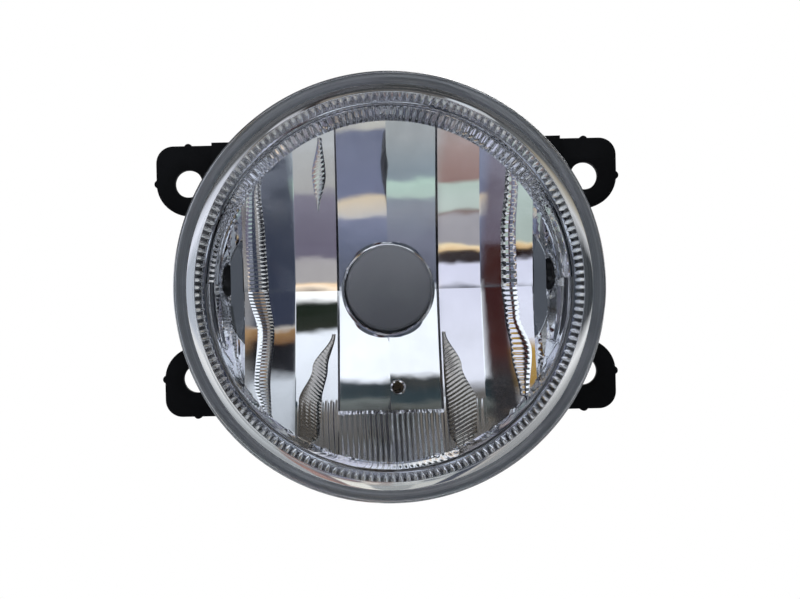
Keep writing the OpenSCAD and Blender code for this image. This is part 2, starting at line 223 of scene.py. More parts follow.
def mirror(name, tint, rough, streak=0.0):
    """Vacuum-metallised plastic: faint waviness, uneven haze."""
    mat, tree, shader = new_material(name)
    haze = noise(tree, 0.12, 4.0)
    dull = tuple(0.9 * c for c in tint)
    tree.links.new(ramp(tree, haze, [(0.3, dull), (0.7, tint)]),
                   shader.inputs["Base Color"])
    tree.links.new(ramp(tree, haze, [(0.35, rough), (0.75, rough * 1.8)]),
                   shader.inputs["Roughness"])
    shader.inputs["Metallic"].default_value = 1.0
    if streak:
        bump(tree, shader, noise(tree, 0.25, 2.0, 0.5, (1, 1, 0.35)), streak, 0.05)
    return mat


def bead_mirror(name, count):
    """Mirror beads with painted shade in their grooves (base colour near black there), the
    painted shade softer towards the top; count of them in the circle.
    """
    mat, tree, shader = new_material(name)
    at = axes(tree)
    turn = math_node(tree, "ARCTAN2", at["Z"], at["X"])
    phase = math_node(tree, "FRACT", math_node(tree, "MULTIPLY", turn, count / TAU))
    # painted shade: the mirror's base colour falls to near black in each groove and is full
    # on the crests
    groove_shade = ramp(tree, phase, [(0.0, 0.012), (0.17, 0.03), (0.33, 0.95),
                               (0.68, 1.0), (0.84, 0.05), (1.0, 0.012)])
    # the same painted shade with less contrast, used over the top of the rim
    soft = ramp(tree, phase, [(0.0, 0.5), (0.33, 0.85), (0.68, 0.9), (1.0, 0.5)])
    top_softening = span(tree, at["Z"], 14 * MM, 26 * MM)
    tree.links.new(mixed(tree, top_softening, groove_shade, soft), shader.inputs["Base Color"])
    shader.inputs["Metallic"].default_value = 1.0
    shader.inputs["Roughness"].default_value = 0.05
    return mat


def ringed(name, dark, light, lines):
    """A bonded seal bead with fine lines running round it; lines are per millimetre."""
    mat, tree, shader = new_material(name)
    tex = tree.nodes.new("ShaderNodeTexNoise")
    tex.noise_dimensions = "1D"
    tex.inputs["Scale"].default_value = 1.0
    tex.inputs["Detail"].default_value = 3.0
    tree.links.new(math_node(tree, "MULTIPLY", radius(tree), lines / MM),
                   tex.inputs["W"])
    tree.links.new(ramp(tree, tex.outputs["Fac"], [(0.35, dark), (0.65, light)]),
                   shader.inputs["Base Color"])
    tree.links.new(ramp(tree, noise(tree, 1.5), [(0.3, 0.4), (0.7, 0.6)]),
                   shader.inputs["Roughness"])
    return mat


def with_painted_shade(mat, low, high, shade_tones):
    """Paints shade onto a finish: multiplies its colour by a ramp of painted shade that runs
    from height low to high (millimetres).
    """
    tree = mat.node_tree
    colour = tree.nodes["Principled BSDF"].inputs["Base Color"]
    plain = colour.links[0].from_socket
    painted_shade_tone = ramp(tree, span(tree, axes(tree)["Z"], low * MM, high * MM),
                [(0.0, shade_tones[0]), (1.0, shade_tones[1])])
    tree.links.new(mixed(tree, 1.0, plain, painted_shade_tone, "MULTIPLY"), colour)
    return mat


# one finish for each material slot of the record
MATS = {
    "bracket_plastic": finish("matte_black_moulding", (0.0012, 0.0015, 0.0019),
                              (0.0030, 0.0036, 0.0045), (0.5, 0.68), grain=3.5,
                              grain_depth=0.03, strength=0.5, specular=0.15),
    "bush_plastic": finish("ivory_acetal", (0.62, 0.60, 0.53), (0.72, 0.70, 0.63),
                           (0.35, 0.5), grain=4.0),
    "lens_glass": glass("clear_pressed_glass", (0.975, 0.985, 0.985), 1.5, calm=0.3),
    "seal_rubber": finish("black_rubber", (0.022, 0.023, 0.025), (0.038, 0.039, 0.042),
                          (0.45, 0.62), grain=1.5, grain_depth=0.03),
    "mirror_coating": mirror("metallised_mirror", (0.90, 0.91, 0.93), 0.035, 0.12),
    # the bulb shield's grey paint with painted shade: about half as bright at the bottom, a
    # little brighter at the top
    "shield_paint": with_painted_shade(finish("matte_grey_paint_painted_shade", (0.44, 0.45, 0.49),
                                  (0.50, 0.51, 0.545), (0.55, 0.7), grain=6.0,
                                  grain_depth=0.008, strength=0.25),
                           -9, 9, ((0.50, 0.51, 0.52), (1.15, 1.16, 1.15))),
    "pin_steel": finish("zinc_plated_steel", (0.55, 0.56, 0.57), (0.68, 0.68, 0.67),
                        (0.22, 0.38), 1.0, grain=3.0, grain_depth=0.01),
    "filter_foam": finish("vent_foam", (0.05, 0.05, 0.055), (0.22, 0.22, 0.23),
                          (0.85, 0.95), grain=2.2, cloud=1.4, grain_depth=0.5,
                          strength=1.0),
    "screw_plate": finish("yellow_zinc_plate", (0.50, 0.44, 0.26), (0.66, 0.60, 0.42),
                          (0.2, 0.36), 1.0, grain=3.0, cloud=0.25, grain_depth=0.01),
    "spring_steel": finish("blued_spring_steel", (0.16, 0.18, 0.23), (0.30, 0.32, 0.37),
                           (0.25, 0.4), 1.0, grain=3.0, grain_depth=0.01),
    "bulb_glass": glass("bulb_glass", (0.99, 0.99, 0.985), 1.46),
    "filament_metal": finish("tungsten", (0.30, 0.29, 0.28), (0.42, 0.41, 0.40),
                             (0.35, 0.5), 1.0, grain=8.0, grain_depth=0.005),
    "dark_moulding": finish("dark_grey_moulding", (0.040, 0.042, 0.046),
                            (0.058, 0.060, 0.065), (0.36, 0.52), grain=3.0,
                            grain_depth=0.025, strength=0.45),
    "terminal_brass": finish("tinned_brass", (0.62, 0.50, 0.27), (0.74, 0.64, 0.40),
                             (0.2, 0.35), 1.0, grain=4.0, grain_depth=0.008),
}
# finishes for parts of a slot drawn with painted light and shade: a paler lens seal, darker
# ribbed wedges, and shade painted into the bead grooves
# the lens seal drawn far paler than the black rubber of its slot: painted light, brightening
# the band seen through the lens rim
SEAL_BEAD_PAINTED_LIGHT = ringed("seal_bead_painted_light", (0.40, 0.43, 0.46), (0.62, 0.66, 0.69), 4.0)
# a darker copy of the mirror coating for the ribbed wedges: painted shade
WEDGE_SHADE_MIRROR = mirror("metallised_ribs_painted_shade", (0.46, 0.44, 0.41), 0.05)
# mirror beads with painted shade in the grooves
BEADS = bead_mirror("metallised_beads_painted_groove_shade", BEAD_COUNT)


# ---------------------------------------------------------------- mesh helpers

WELD = 0.0005  # points of a drawn piece closer than this become one
CAD_WELD = 0.002
FLAT = 0.03  # degrees; CAD faces that meet more gently than this are joined
CORNER = 28  # degrees; CAD edges sharper than this are rounded
CREASE = 30  # degrees; a rounded copy stays sharp beyond this


def smooth(t):
    """Eases from 0 to 1 as t goes from 0 to 1."""
    t = min(max(t, 0.0), 1.0)
    return t * t * (3 - 2 * t)


def shade(bm, sharp):
    """Smooth faces, with an edge kept sharp where it turns by more than sharp degrees."""
    for f in bm.faces:
        f.smooth = True
    limit = math.radians(sharp)
    for e in bm.edges:
        e.smooth = not (len(e.link_faces) == 2 and e.calc_face_angle(0) > limit)


def place(name, mesh, body, slot, replaced=(), material=None):
    """Puts a mesh into the scene as a piece riding on a body."""
    obj = bpy.data.objects.new(name, mesh)
    bpy.context.scene.collection.objects.link(obj)
    mesh.materials.clear()
    mesh.materials.append(material or MATS[slot])
    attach(obj, body)
    if replaced:
        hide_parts(*replaced)
    return obj


def piece(name, bm, body, slot, sharp, replaced=(), material=None):
    """Turns a bmesh in millimetres into a finished piece."""
    bmesh.ops.remove_doubles(bm, verts=bm.verts, dist=WELD)
    bmesh.ops.recalc_face_normals(bm, faces=bm.faces)
    for v in bm.verts:
        v.co *= MM
    shade(bm, sharp)
    mesh = bpy.data.meshes.new(name)
    bm.to_mesh(mesh)
    bm.free()
    place(name, mesh, body, slot, replaced, material)


def grid(bm, rows, closed=False):
    """Joins rows of points (lists of Vector) into quads; closed wraps each row round."""
    made = [[bm.verts.new(p) for p in row] for row in rows]
    for a, b in zip(made, made[1:]):
        count = len(a) if closed else len(a) - 1
        for i in range(count):
            j = (i + 1) % len(a)
            bm.faces.new((a[i], a[j], b[j], b[i]))
    return made


def ring_point(r, y, a, cx=0.0, cz=0.0):
    return Vector((cx + r * math.cos(a), y, cz + r * math.sin(a)))


def turned(bm, outline, steps, cx=0.0, cz=0.0):
    """Turns an outline of (radius, y) about the line through (cx, cz) along Y."""
    pole_r = 0.4 * WELD  # a pole is a ring that welds to one point
    grid(bm, [[ring_point(max(r, pole_r), y, TAU * i / steps, cx, cz)
               for i in range(steps)] for r, y in outline], closed=True)


def refined(node, name, slot, width, cuts=2):
    """A copy of a CAD node with welded faces and rounded edges, shown in its place."""
    src = frame["nodes"][node]
    bm = bmesh.new()
    bm.from_mesh(src.data)
    bmesh.ops.remove_doubles(bm, verts=bm.verts, dist=CAD_WELD * MM)
    bmesh.ops.dissolve_limit(bm, angle_limit=math.radians(FLAT), verts=bm.verts,
                             edges=bm.edges)
    mesh = bpy.data.meshes.new(name)
    bm.to_mesh(mesh)
    bm.free()
    obj = place(name, mesh, src["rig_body"], slot, (node,))
    mod = obj.modifiers.new("edge", "BEVEL")
    mod.width = width * MM
    mod.segments = cuts
    mod.limit_method = "ANGLE"
    mod.angle_limit = math.radians(CORNER)
    mod.use_clamp_overlap = True
    mod.harden_normals = False
    bpy.context.view_layer.update()
    done = bpy.data.meshes.new_from_object(
        obj.evaluated_get(bpy.context.evaluated_depsgraph_get()))
    obj.modifiers.clear()
    obj.data = done
    done.name = name
    bm = bmesh.new()
    bm.from_mesh(done)
    shade(bm, CREASE)
    bm.to_mesh(done)
    bm.free()


# ---------------------------------------------------------------- lens

def bowl(edge_r, pole_y, rise, steps=28):
    """Points (radius, y) of a parabolic bowl, from its pole to its edge."""
    return [(edge_r * i / steps, pole_y + rise * (i / steps) ** 2)
            for i in range(steps + 1)]


def lens_outline():
    """Outer face from the pole to the skirt, then the inner face back to the pole."""
    corner = 1.58
    ridges = [(40.25, -1.9), (40.5, -1.78), (40.75, -1.9), (41.3, -1.86), (41.9, -1.82),
              (42.1, -1.72), (42.3, -1.8), (42.9, -1.72), (43.4, -1.62)]
    turns = [math.pi / 2 * i / 8 for i in range(1, 9)]
    shoulder = [(RIM_R - corner + corner * math.sin(a), -corner * math.cos(a))
                for a in turns]
    skirt = [(RIM_R, 0.4), (RIM_R, 4.0), (RIM_R, 7.4), (44.8, 7.85), (44.4, SKIRT_Y),
             (42.8, SKIRT_Y), (42.5, 7.8), (42.44, 7.4), (42.44, 5.0), (42.44, 2.6)]
    step = [(42.2, 1.9), (41.4, 1.15), (40.8, 0.64), (40.2, 0.5), (39.8, 0.42)]
    inside = bowl(39.8, -4.8, 5.2)[:-1]
    return bowl(DOME_R, DOME_Y, 5.4) + ridges + shoulder + skirt + step + inside[::-1]


lens = bmesh.new()
turned(lens, lens_outline(), 240)
piece("lens_pressing", lens, "lamp", "lens_glass", 50, ("lens",))


# ---------------------------------------------------------------- reflector face

EDGE_R = 38.2  # the strips end here and the beaded rim begins
EDGE_Y = 7.0
FOLD_R = 37.2  # from here out the strips bend forward to meet the rim
SIDE_X = 31.4  # the side walls begin here
SIDE_Y = 27.0  # and lie no deeper than this at the bulb's level
STEEP_X = 34.3  # the part of a side wall with the pivot hole begins here
PIVOT_HOLE_R = 3.5
VENT_HOLE_R = 1.3
TROUGH_SLOPE, TROUGH_CURVE = 0.13, 0.01  # how the strips fall away up and down
TOE_IN = 750  # a strip also turns in, by its distance from the middle over this
LEAN = 0.0009  # the strips' borders draw together this much for each mm up
WELD_GAP = 0.002  # keeps the crease at the bulb's level from being welded

# The fluted lower panels of the inner strips, behind a step on the middle two.
STEP_Z = -26.3
STEP_DEEP = 0.4
STEP_RUN = 0.6
STEP_EDGE = 0.02
FLUTED_X = 20.4  # strips centred closer in than this have such panels
FLUTE_DEEP = 0.020
FLUTE_PITCH = 1.15
OUTER_PANELS_UP = 2.5  # how much higher the panels of the outer two begin

# The moulding behind the mirror: a paraboloid bowl, then (radius, y) up its wall.
BOWL_Y = 38.0
FOCAL = 19.0
CLEAR = 0.15
WALL = [(36.3, 20.66), (37.3, 19.5), (39.0, 6.0), (40.4, REFLECTOR_Y)]
# A side wall's depth against the share of its width: a gentle run, a steep face, the rim.
SIDE_RUN = [(0.0, 23.1), (0.46, 21.9), (0.60, 18.5), (0.80, 13.5), (1.0, EDGE_Y)]

# A vertical strip of mirror: its edges, its sideways slope, how much it crowns, and the
# depth of the edge nearer the middle.
Strip = namedtuple("Strip", "left right slope crown back")
RIGHT_STRIPS = [Strip(0.0, 11.3, 0.16, -0.05, 33.0), Strip(11.3, 20.4, -0.04, -0.035, 32.4),
                Strip(20.4, SIDE_X, -0.31, -0.07, 27.9), Strip(SIDE_X, 38.0, 0.0, 0.0, 25.0)]
LEFT_STRIPS = [Strip(-s.right, -s.left, -s.slope, s.crown, s.back)
               for s in reversed(RIGHT_STRIPS)]
STRIPS = LEFT_STRIPS + RIGHT_STRIPS


def limit_y(r):
    """The deepest the visible mirror may lie, just in front of the moulding."""
    if r < WALL[0][0]:
        return BOWL_Y - CLEAR - r * r / (4 * FOCAL)
    for (r0, y0), (r1, y1) in zip(WALL, WALL[1:]):
        if r <= r1:
            return y0 + (y1 - y0) * (r - r0) / (r1 - r0) - CLEAR
    return REFLECTOR_Y


def trough(z):
    """Fall of the mirror from the level of the bulb up or down to height z."""
    z = abs(z)
    return TROUGH_SLOPE * z + TROUGH_CURVE * z * z


def side_y(x, z):
    """Depth of a side wall, which holds the pivot hole in its steep face."""
    x_out = math.sqrt(max(EDGE_R ** 2 - z * z, SIDE_X ** 2 + 0.01))
    t = (abs(x) - SIDE_X) / (x_out - SIDE_X)
    for (t0, y0), (t1, y1) in zip(SIDE_RUN, SIDE_RUN[1:]):
        if t <= t1:
            return y0 + (y1 - y0) * (t - t0) / (t1 - t0)
    return EDGE_Y


def panel_rise(x, z, middle):
    """Rise of the fluted lower panels; middle is true on the middle two strips."""
    top = STEP_Z if middle else STEP_Z + OUTER_PANELS_UP
    step = STEP_DEEP if middle else 0.0
    waver = 0.7 * math.sin(0.4 * z)
    flutes = FLUTE_DEEP * math.cos(TAU * x / FLUTE_PITCH + waver)
    return smooth((top - z) / STEP_RUN) * (step + flutes)


def face_y(x, z, strip, half):
    """Depth of the mirror at (x, z); half is 1 above the bulb's level and -1 below."""
    r = math.hypot(x, z)
    if abs(x) > SIDE_X:
        y = min(side_y(x, z), SIDE_Y - trough(z))
    else:
        mid, wide = 0.5 * (strip.left + strip.right), strip.right - strip.left
        inner = strip.left if mid > 0 else strip.right
        u = (x - mid) / (0.5 * wide)
        tilt = strip.slope - mid / TOE_IN
        y = strip.back + tilt * (x - inner) + strip.crown * wide / 4 * (u * u - 1)
        y -= trough(z)
        if half < 0:
            y += WELD_GAP
            if abs(mid) < FLUTED_X:
                y -= panel_rise(x, z, middle=0.0 in (strip.left, strip.right))
    y -= smooth((r - FOLD_R) / (EDGE_R - FOLD_R)) * (y - EDGE_Y)
    return min(y, limit_y(r))


def strip_grid(strip, half, cols, rows):
    """One mirror strip as columns of points from the middle outwards."""
    out = []
    for i in range(cols + 1):
        x = strip.left + (strip.right - strip.left) * i / cols
        z_in = math.sqrt(max(PORT_R ** 2 - x * x, 0.0))
        z_out = math.sqrt(max(EDGE_R ** 2 - x * x, 0.0))
        zs = [half * (z_in + (z_out - z_in) * k / rows) for k in range(rows + 1)]
        if half < 0 and z_out > 1 - STEP_Z:  # two rows of points hold the step's edge
            k = min(range(1, rows), key=lambda n: abs(zs[n] - STEP_Z))
            zs[k], zs[k + 1] = STEP_Z + STEP_EDGE, STEP_Z - STEP_EDGE
        column = []
        for z in zs:
            leaning = x * (1 - LEAN * z * (1 - abs(x) / EDGE_R))
            fit = min(1.0, EDGE_R / math.hypot(leaning, z))
            px, pz = leaning * fit, z * fit
            column.append(Vector((px, face_y(px, pz, strip, half), pz)))
        out.append(column)
    return out


def cut_pivot_hole(bm, columns, side):
    """Opens the pivot hole in a side wall and raises a scalloped collar round it."""
    collar_r, collar_w, scallops = 4.55, 0.85, 20
    gone = []
    for v in [v for column in columns for v in column]:
        dy, dz = v.co.y - PIVOT_Y, v.co.z - PIVOT_Z
        d = math.hypot(dy, dz)
        if abs(v.co.x) < STEEP_X:
            continue
        if d < PIVOT_HOLE_R - 0.3:
            gone.append(v)
        elif d < PIVOT_HOLE_R + 0.25:  # the nearest points move onto the hole's edge
            v.co.y = PIVOT_Y + dy * PIVOT_HOLE_R / d
            v.co.z = PIVOT_Z + dz * PIVOT_HOLE_R / d
        elif d < collar_r + collar_w:
            rise = 0.4 * (1 - abs(d - collar_r) / collar_w)
            turn = math.atan2(dz, dy)
            v.co.x -= side * rise * (0.7 + 0.3 * math.cos(scallops * turn))
    bmesh.ops.delete(bm, geom=gone, context="VERTS")


def cut_vent(bm, columns):
    """Opens the small breather hole under its lip."""
    gone = [v for column in columns for v in column
            if math.hypot(v.co.x - VENT_X, v.co.z - VENT_Z) < VENT_HOLE_R]
    bmesh.ops.delete(bm, geom=gone, context="VERTS")


def mirror_strips(bm):
    """All the strips, above and below the bulb's level, with the steps between them."""
    for half in (1, -1):
        last = None
        for strip in STRIPS:
            side_wall = abs(strip.left + strip.right) > 2 * SIDE_X
            cols, rows = (36, 150) if side_wall else (80, 96)
            made = grid(bm, strip_grid(strip, half, cols, rows))
            if side_wall:
                cut_pivot_hole(bm, made, math.copysign(1, strip.right))
            if half < 0 and strip.left <= VENT_X < strip.right:
                cut_vent(bm, made)
            left_edge, right_edge = strip_grid(strip, half, 1, 96)
            if last:
                grid(bm, [last, left_edge])
            last = right_edge


def ribs(bm, path, half, pitch=0.72, deep=0.045, across=10, lean=0.0, bulge=0.10):
    """A ribbed column lying on a strip; path is a list of (z, centre x, half width)."""
    path = sorted(path)
    z = path[0][0]
    rows = []
    while z <= path[-1][0]:
        a, b = next(pair for pair in zip(path, path[1:]) if z <= pair[1][0])
        k = smooth((z - a[0]) / (b[0] - a[0]))
        xc, w = (a[i] + (b[i] - a[i]) * k for i in (1, 2))
        row = []
        for i in range(across + 1):
            s = -1 + 2 * i / across
            x = xc + w * s
            strip = next(t for t in STRIPS if t.left <= x <= t.right + 1e-6)
            wave = 0.5 - 0.5 * math.cos(TAU * (z + lean * w * s) / pitch)
            crest = 0.02 + bulge * (1 - s * s) + deep * wave * (1 - s ** 4)
            row.append(Vector((x, face_y(x, z, strip, half) - crest, z)))
        rows.append(row)
        z += pitch / 8
    grid(bm, rows)


def ribbed_columns(bm):
    """The bright ribbed columns: three on the left, one high up, two on the right."""
    ribs(bm, [(0.0, -28.3, 2.2), (12, -28.6, 2.1), (20, -28.6, 1.6), (26.5, -27.2, 0.4)],
         1, pitch=0.9, deep=0.06, across=16, bulge=0.32)
    ribs(bm, [(-27.0, -26.6, 1.0), (-20, -27.6, 1.7), (-9, -26.8, 1.8), (0.0, -28.3, 2.2)],
         -1, across=16, bulge=0.2)
    ribs(bm, [(-19.5, -32.6, 0.5), (-12, -34.2, 1.4), (-3, -35.2, 1.5)], -1, deep=0.03)
    ribs(bm, [(17.5, -15.0, 0.3), (25, -14.6, 1.5), (32.5, -14.2, 0.5)],
         1, pitch=1.0, lean=-0.6)
    ribs(bm, [(0.0, 26.4, 1.7), (12, 26.2, 1.6), (22, 26.8, 1.4), (28, 26.2, 0.5)],
         1, pitch=1.8, deep=0.13, across=16, bulge=0.26)
    ribs(bm, [(-23.5, 28.6, 1.0), (-14, 28.4, 2.2), (-6, 26.8, 1.6), (0.0, 26.4, 1.7)],
         -1, pitch=1.1, deep=0.07, across=16, bulge=0.14)


def ribbed_wedges(bm):
    """The two ribbed wedges low down, one on each side of the middle strips; they are drawn
    darker with painted shade.
    """
    ribs(bm, [(-34.5, -18.6, 0.3), (-31, -17.8, 2.3), (-24, -17.5, 2.5), (-17, -15.3, 1.7),
              (-9.5, -12.2, 0.4)], -1, deep=0.07, across=16, lean=0.7)
    ribs(bm, [(-35.0, 14.6, 0.3), (-31, 15.4, 3.0), (-25, 15.3, 3.4), (-17, 13.7, 2.0),
              (-9.5, 12.0, 0.4)], -1, pitch=0.85, deep=0.09, across=16, lean=-0.55)


# The rim's profile as (radius, y, depth of the beads there); its middle is the beads.
RIM = [(40.38, 1.72, 0.0), (40.22, 1.66, 0.0), (40.06, 1.8, 0.0), (39.98, 2.1, 0.1),
       (39.86, 2.5, 0.6), (39.6, 3.2, 0.8), (39.4, 3.9, 0.8), (39.25, 4.3, 0.6),
       (39.1, 4.7, 0.0), (38.7, 5.8, 0.0), (38.4, 6.5, 0.0), (38.1, 7.0, 0.0)]
BEADS_FROM, BEADS_TO = 2, 8
# The frosted band's profile across the top, as (radius, y, depth of its flutes).
FROST = [(38.1, 6.8, 0.0), (37.9, 7.2, 0.16), (37.6, 8.6, 0.22), (37.2, 10.6, 0.22),
         (36.7, 12.8, 0.2), (36.3, 13.8, 0.1), (35.9, 14.6, 0.0)]
# Rolled lips, as (radius, y): the bulb port's and the breather's.
PORT_LIP = [(10.32, 36.3), (10.32, 31.6), (10.27, 30.5), (10.1, 30.0), (9.85, 29.9),
            (9.64, 30.1), (9.54, 30.6), (9.6, 31.6), (9.8, 34.0), (10.08, 36.3)]
VENT_LIP = [(1.75, 26.8), (1.72, 25.9), (1.55, 25.3), (1.3, 25.2), (1.15, 25.6),
            (1.12, 33.6)]
PER_BEAD = 10  # points along each bead
AROUND = BEAD_COUNT * PER_BEAD
FROST_BEADS = (1, 80)  # the frosted band runs over these beads
FROST_END = 0.25  # radians from the level where the band has faded out


def bead(k, sharp):
    """Height of the bead profile at point k: pointed (sharp=1) or rounded (0)."""
    t = (k % PER_BEAD) / PER_BEAD
    pointed = 1 - abs(2 * t - 1)
    return sharp * pointed + (1 - sharp) * 0.5 * (1 - math.cos(TAU * t))


def rim_rows():
    return [[ring_point(r - deep * bead(k, 0.8), y, TAU * k / AROUND)
             for k in range(AROUND)] for r, y, deep in RIM]


def frost_rows():
    """A softly fluted band over the top of the rim, fading out at its two ends."""
    rows = []
    for r, y, deep in FROST:
        row = []
        for k in range(FROST_BEADS[0] * PER_BEAD, FROST_BEADS[1] * PER_BEAD):
            a = TAU * k / AROUND
            fade = smooth((a - FROST_END) / 0.7) * smooth((math.pi - FROST_END - a) / 0.7)
            rise = (0.2 + deep * bead(k, 0.2)) * fade
            row.append(ring_point(r - rise, y - 0.2, a))
        rows.append(row)
    return rows


wedges = bmesh.new()
ribbed_wedges(wedges)
# the wedges take the darker mirror copy: painted shade
piece("reflector_wedges", wedges, "lamp", "mirror_coating", 22, material=WEDGE_SHADE_MIRROR)

rim = rim_rows()
beads = bmesh.new()
grid(beads, rim[BEADS_FROM:BEADS_TO + 1], closed=True)
piece("reflector_beads", beads, "lamp", "mirror_coating", 22, material=BEADS)

face = bmesh.new()
mirror_strips(face)
ribbed_columns(face)
grid(face, rim[:BEADS_FROM + 1], closed=True)
grid(face, rim[BEADS_TO:], closed=True)
grid(face, frost_rows())
turned(face, PORT_LIP, 128)
turned(face, VENT_LIP, 48, VENT_X, VENT_Z)
piece("reflector_face", face, "lamp", "mirror_coating", 14)
refined("reflector", "reflector_back", "dark_moulding", 0.3)


# ---------------------------------------------------------------- other pieces

refined("bracket", "bracket_moulding", "bracket_plastic", 0.45, cuts=3)

# (CAD node, piece, slot, width of its rounded edges)
ROUNDED = [
    ("bulb_base", "bulb_base_moulding", "dark_moulding", 0.3),
    ("nut_socket", "nut_socket_moulding", "bush_plastic", 0.25),
    ("breather_elbow", "breather_elbow_moulding", "seal_rubber", 0.25),
    ("adjuster_bush", "adjuster_bush_moulding", "bush_plastic", 0.2),
    ("pivot_bush_left", "pivot_bush_moulding_left", "bush_plastic", 0.15),
    ("pivot_bush_right", "pivot_bush_moulding_right", "bush_plastic", 0.15),
    ("pivot_pin_left", "pivot_pin_turned_left", "pin_steel", 0.2),
    ("pivot_pin_right", "pivot_pin_turned_right", "pin_steel", 0.2),
    ("adjuster_screw", "adjuster_screw_turned", "screw_plate", 0.12),
    ("screw_retainer", "screw_retainer_pressing", "spring_steel", 0.06),
    ("bulb_shield", "bulb_shield_pressing", "shield_paint", 0.08)]
for node, name, slot, width in ROUNDED:
    refined(node, name, slot, width)

# CAD nodes that are shown as they are
# the lens seal takes its paler copy, with painted light
AS_IS = {"lens_seal": SEAL_BEAD_PAINTED_LIGHT,
         "breather_filter": MATS["filter_foam"],
         "ball_nut": MATS["bush_plastic"],
         "bulb_capsule": MATS["bulb_glass"],
         "bulb_filament": MATS["filament_metal"],
         "filament_supports": MATS["filament_metal"],
         "bulb_collar": MATS["pin_steel"],
         "bulb_oring": MATS["seal_rubber"],
         "bulb_terminals": MATS["terminal_brass"]}
for node, material in AS_IS.items():
    mesh = frame["nodes"][node].data
    mesh.materials.clear()
    mesh.materials.append(material)


# ---------------------------------------------------------------- the room in the mirror

# The room as the mirror strips show it. Each bearing (sideways slope of the strip that
# sees it) has colours by height on the strip in millimetres, from the top down.
PALE = (0.85, 0.86, 0.88)
SKY = (1.2, 1.25, 1.35)
HAZE = (0.34, 0.36, 0.37)
DUSK = (0.10, 0.11, 0.15)
EAVES = (0.02, 0.01, 0.01)
SHADE = (0.12, 0.125, 0.13)
KERB = (0.05, 0.055, 0.05)
GROUND = (0.11, 0.105, 0.10)
FOOT = (0.045, 0.047, 0.05)
FOOT_Z = -35.5
FACING = (0.09, 0.10, 0.12)  # the dim side of the room, behind the viewer

FAR_LEFT = [
    (36, (0.34, 0.36, 0.38)), (24, (0.50, 0.53, 0.56)), (8, PALE),
    (0.5, (0.50, 0.54, 0.62)), (-0.5, (0.45, 0.49, 0.56)), (-8, (0.85, 0.88, 1.0)),
    (-17, (0.6, 0.62, 0.7)), (-24, SHADE), (-37, (0.06, 0.062, 0.066))]
RIGHT_OUT = [
    (37, (0.22, 0.16, 0.16)), (28, (0.15, 0.13, 0.18)), (9, (0.14, 0.11, 0.15)),
    (7.5, (0.05, 0.012, 0.01)), (-8, (0.045, 0.010, 0.008)), (-14, (0.06, 0.015, 0.01)),
    (-20, (0.012, 0.010, 0.010)), (-37, (0.03, 0.025, 0.025))]
RIGHT_IN = [
    (37, (0.34, 0.22, 0.20)), (24, (0.30, 0.17, 0.15)), (23, (0.50, 0.62, 0.56)),
    (9.3, (0.50, 0.58, 0.54)), (8.9, (0.95, 0.80, 0.52)), (7.9, (0.90, 0.60, 0.30)),
    (7.3, EAVES), (6.2, EAVES), (5.4, (0.85, 0.86, 1.05)), (-12, (0.95, 0.97, 1.12)),
    (-14, (0.55, 0.34, 0.08)), (-21, (0.40, 0.24, 0.05)), (-23, (0.7, 0.72, 0.8)),
    (-31, (0.3, 0.3, 0.32)), (FOOT_Z, FOOT)]
LEFT_MID_IN = [
    (37, (0.80, 0.79, 0.75)), (31.5, (0.68, 0.66, 0.60)), (30.5, (0.19, 0.21, 0.31)),
    (20.0, (0.18, 0.20, 0.31)), (18.8, (0.80, 0.66, 0.48)), (15.2, (0.62, 0.60, 0.60)),
    (14.4, (0.24, 0.26, 0.38)), (10.0, (0.16, 0.18, 0.27)), (1, DUSK), (-1, SKY),
    (-19.0, (1.25, 1.30, 1.42)), (-20.0, (0.010, 0.025, 0.03)),
    (-23, (0.012, 0.03, 0.035)), (-24.2, (0.16, 0.18, 0.17)), (-26, KERB),
    (-30, (0.16, 0.14, 0.12)), (-33, (0.22, 0.20, 0.18)), (FOOT_Z, FOOT)]
RIGHT_MID = [
    (37, HAZE), (33, (0.46, 0.38, 0.36)), (28, (0.42, 0.30, 0.28)),
    (22.4, (0.32, 0.19, 0.17)), (21.4, (0.56, 0.68, 0.61)), (16.2, (0.55, 0.63, 0.58)),
    (15.4, (0.22, 0.14, 0.12)), (14.8, (0.42, 0.40, 0.43)), (9.1, (0.40, 0.38, 0.41)),
    (8.7, (1.1, 0.90, 0.58)), (7.7, (0.95, 0.66, 0.36)), (7.3, EAVES),
    (5.6, (0.03, 0.02, 0.02)), (5.0, (0.86, 0.86, 1.05)), (-20, (0.95, 0.97, 1.10)),
    (-23, (0.15, 0.14, 0.13)), (-33, GROUND), (FOOT_Z, FOOT)]
LEFT_MID = [
    (37, HAZE), (33, (0.60, 0.62, 0.63)), (21, (0.48, 0.47, 0.46)),
    (19.5, (0.20, 0.18, 0.24)), (7.0, (0.17, 0.15, 0.21)), (6.0, (0.48, 0.45, 0.46)),
    (1.2, (0.50, 0.47, 0.47)), (0.4, (1.4, 1.0, 0.62)), (-0.6, (1.4, 1.35, 1.3)),
    (-2.4, (1.3, 1.3, 1.3)), (-3.2, (0.012, 0.02, 0.012)), (-8.6, (0.02, 0.025, 0.015)),
    (-10, (1.1, 1.15, 1.25)), (-24, (0.9, 0.95, 1.05)), (-26, (0.20, 0.17, 0.14)),
    (-33, GROUND), (FOOT_Z, FOOT)]
RIGHT_MID_IN = [
    (37, (0.55, 0.56, 0.55)), (32, (0.48, 0.50, 0.51)), (23.0, (0.30, 0.36, 0.41)),
    (22.2, (0.56, 0.75, 0.66)), (18.8, (0.52, 0.66, 0.60)), (18.0, (0.27, 0.30, 0.36)),
    (10.0, (0.20, 0.21, 0.28)), (1, DUSK), (-1, SKY), (-18.4, SKY),
    (-19.4, (0.010, 0.022, 0.03)), (-24, (0.018, 0.04, 0.05)), (-25, (0.12, 0.13, 0.12)),
    (-26, KERB), (-33, GROUND), (FOOT_Z, FOOT)]
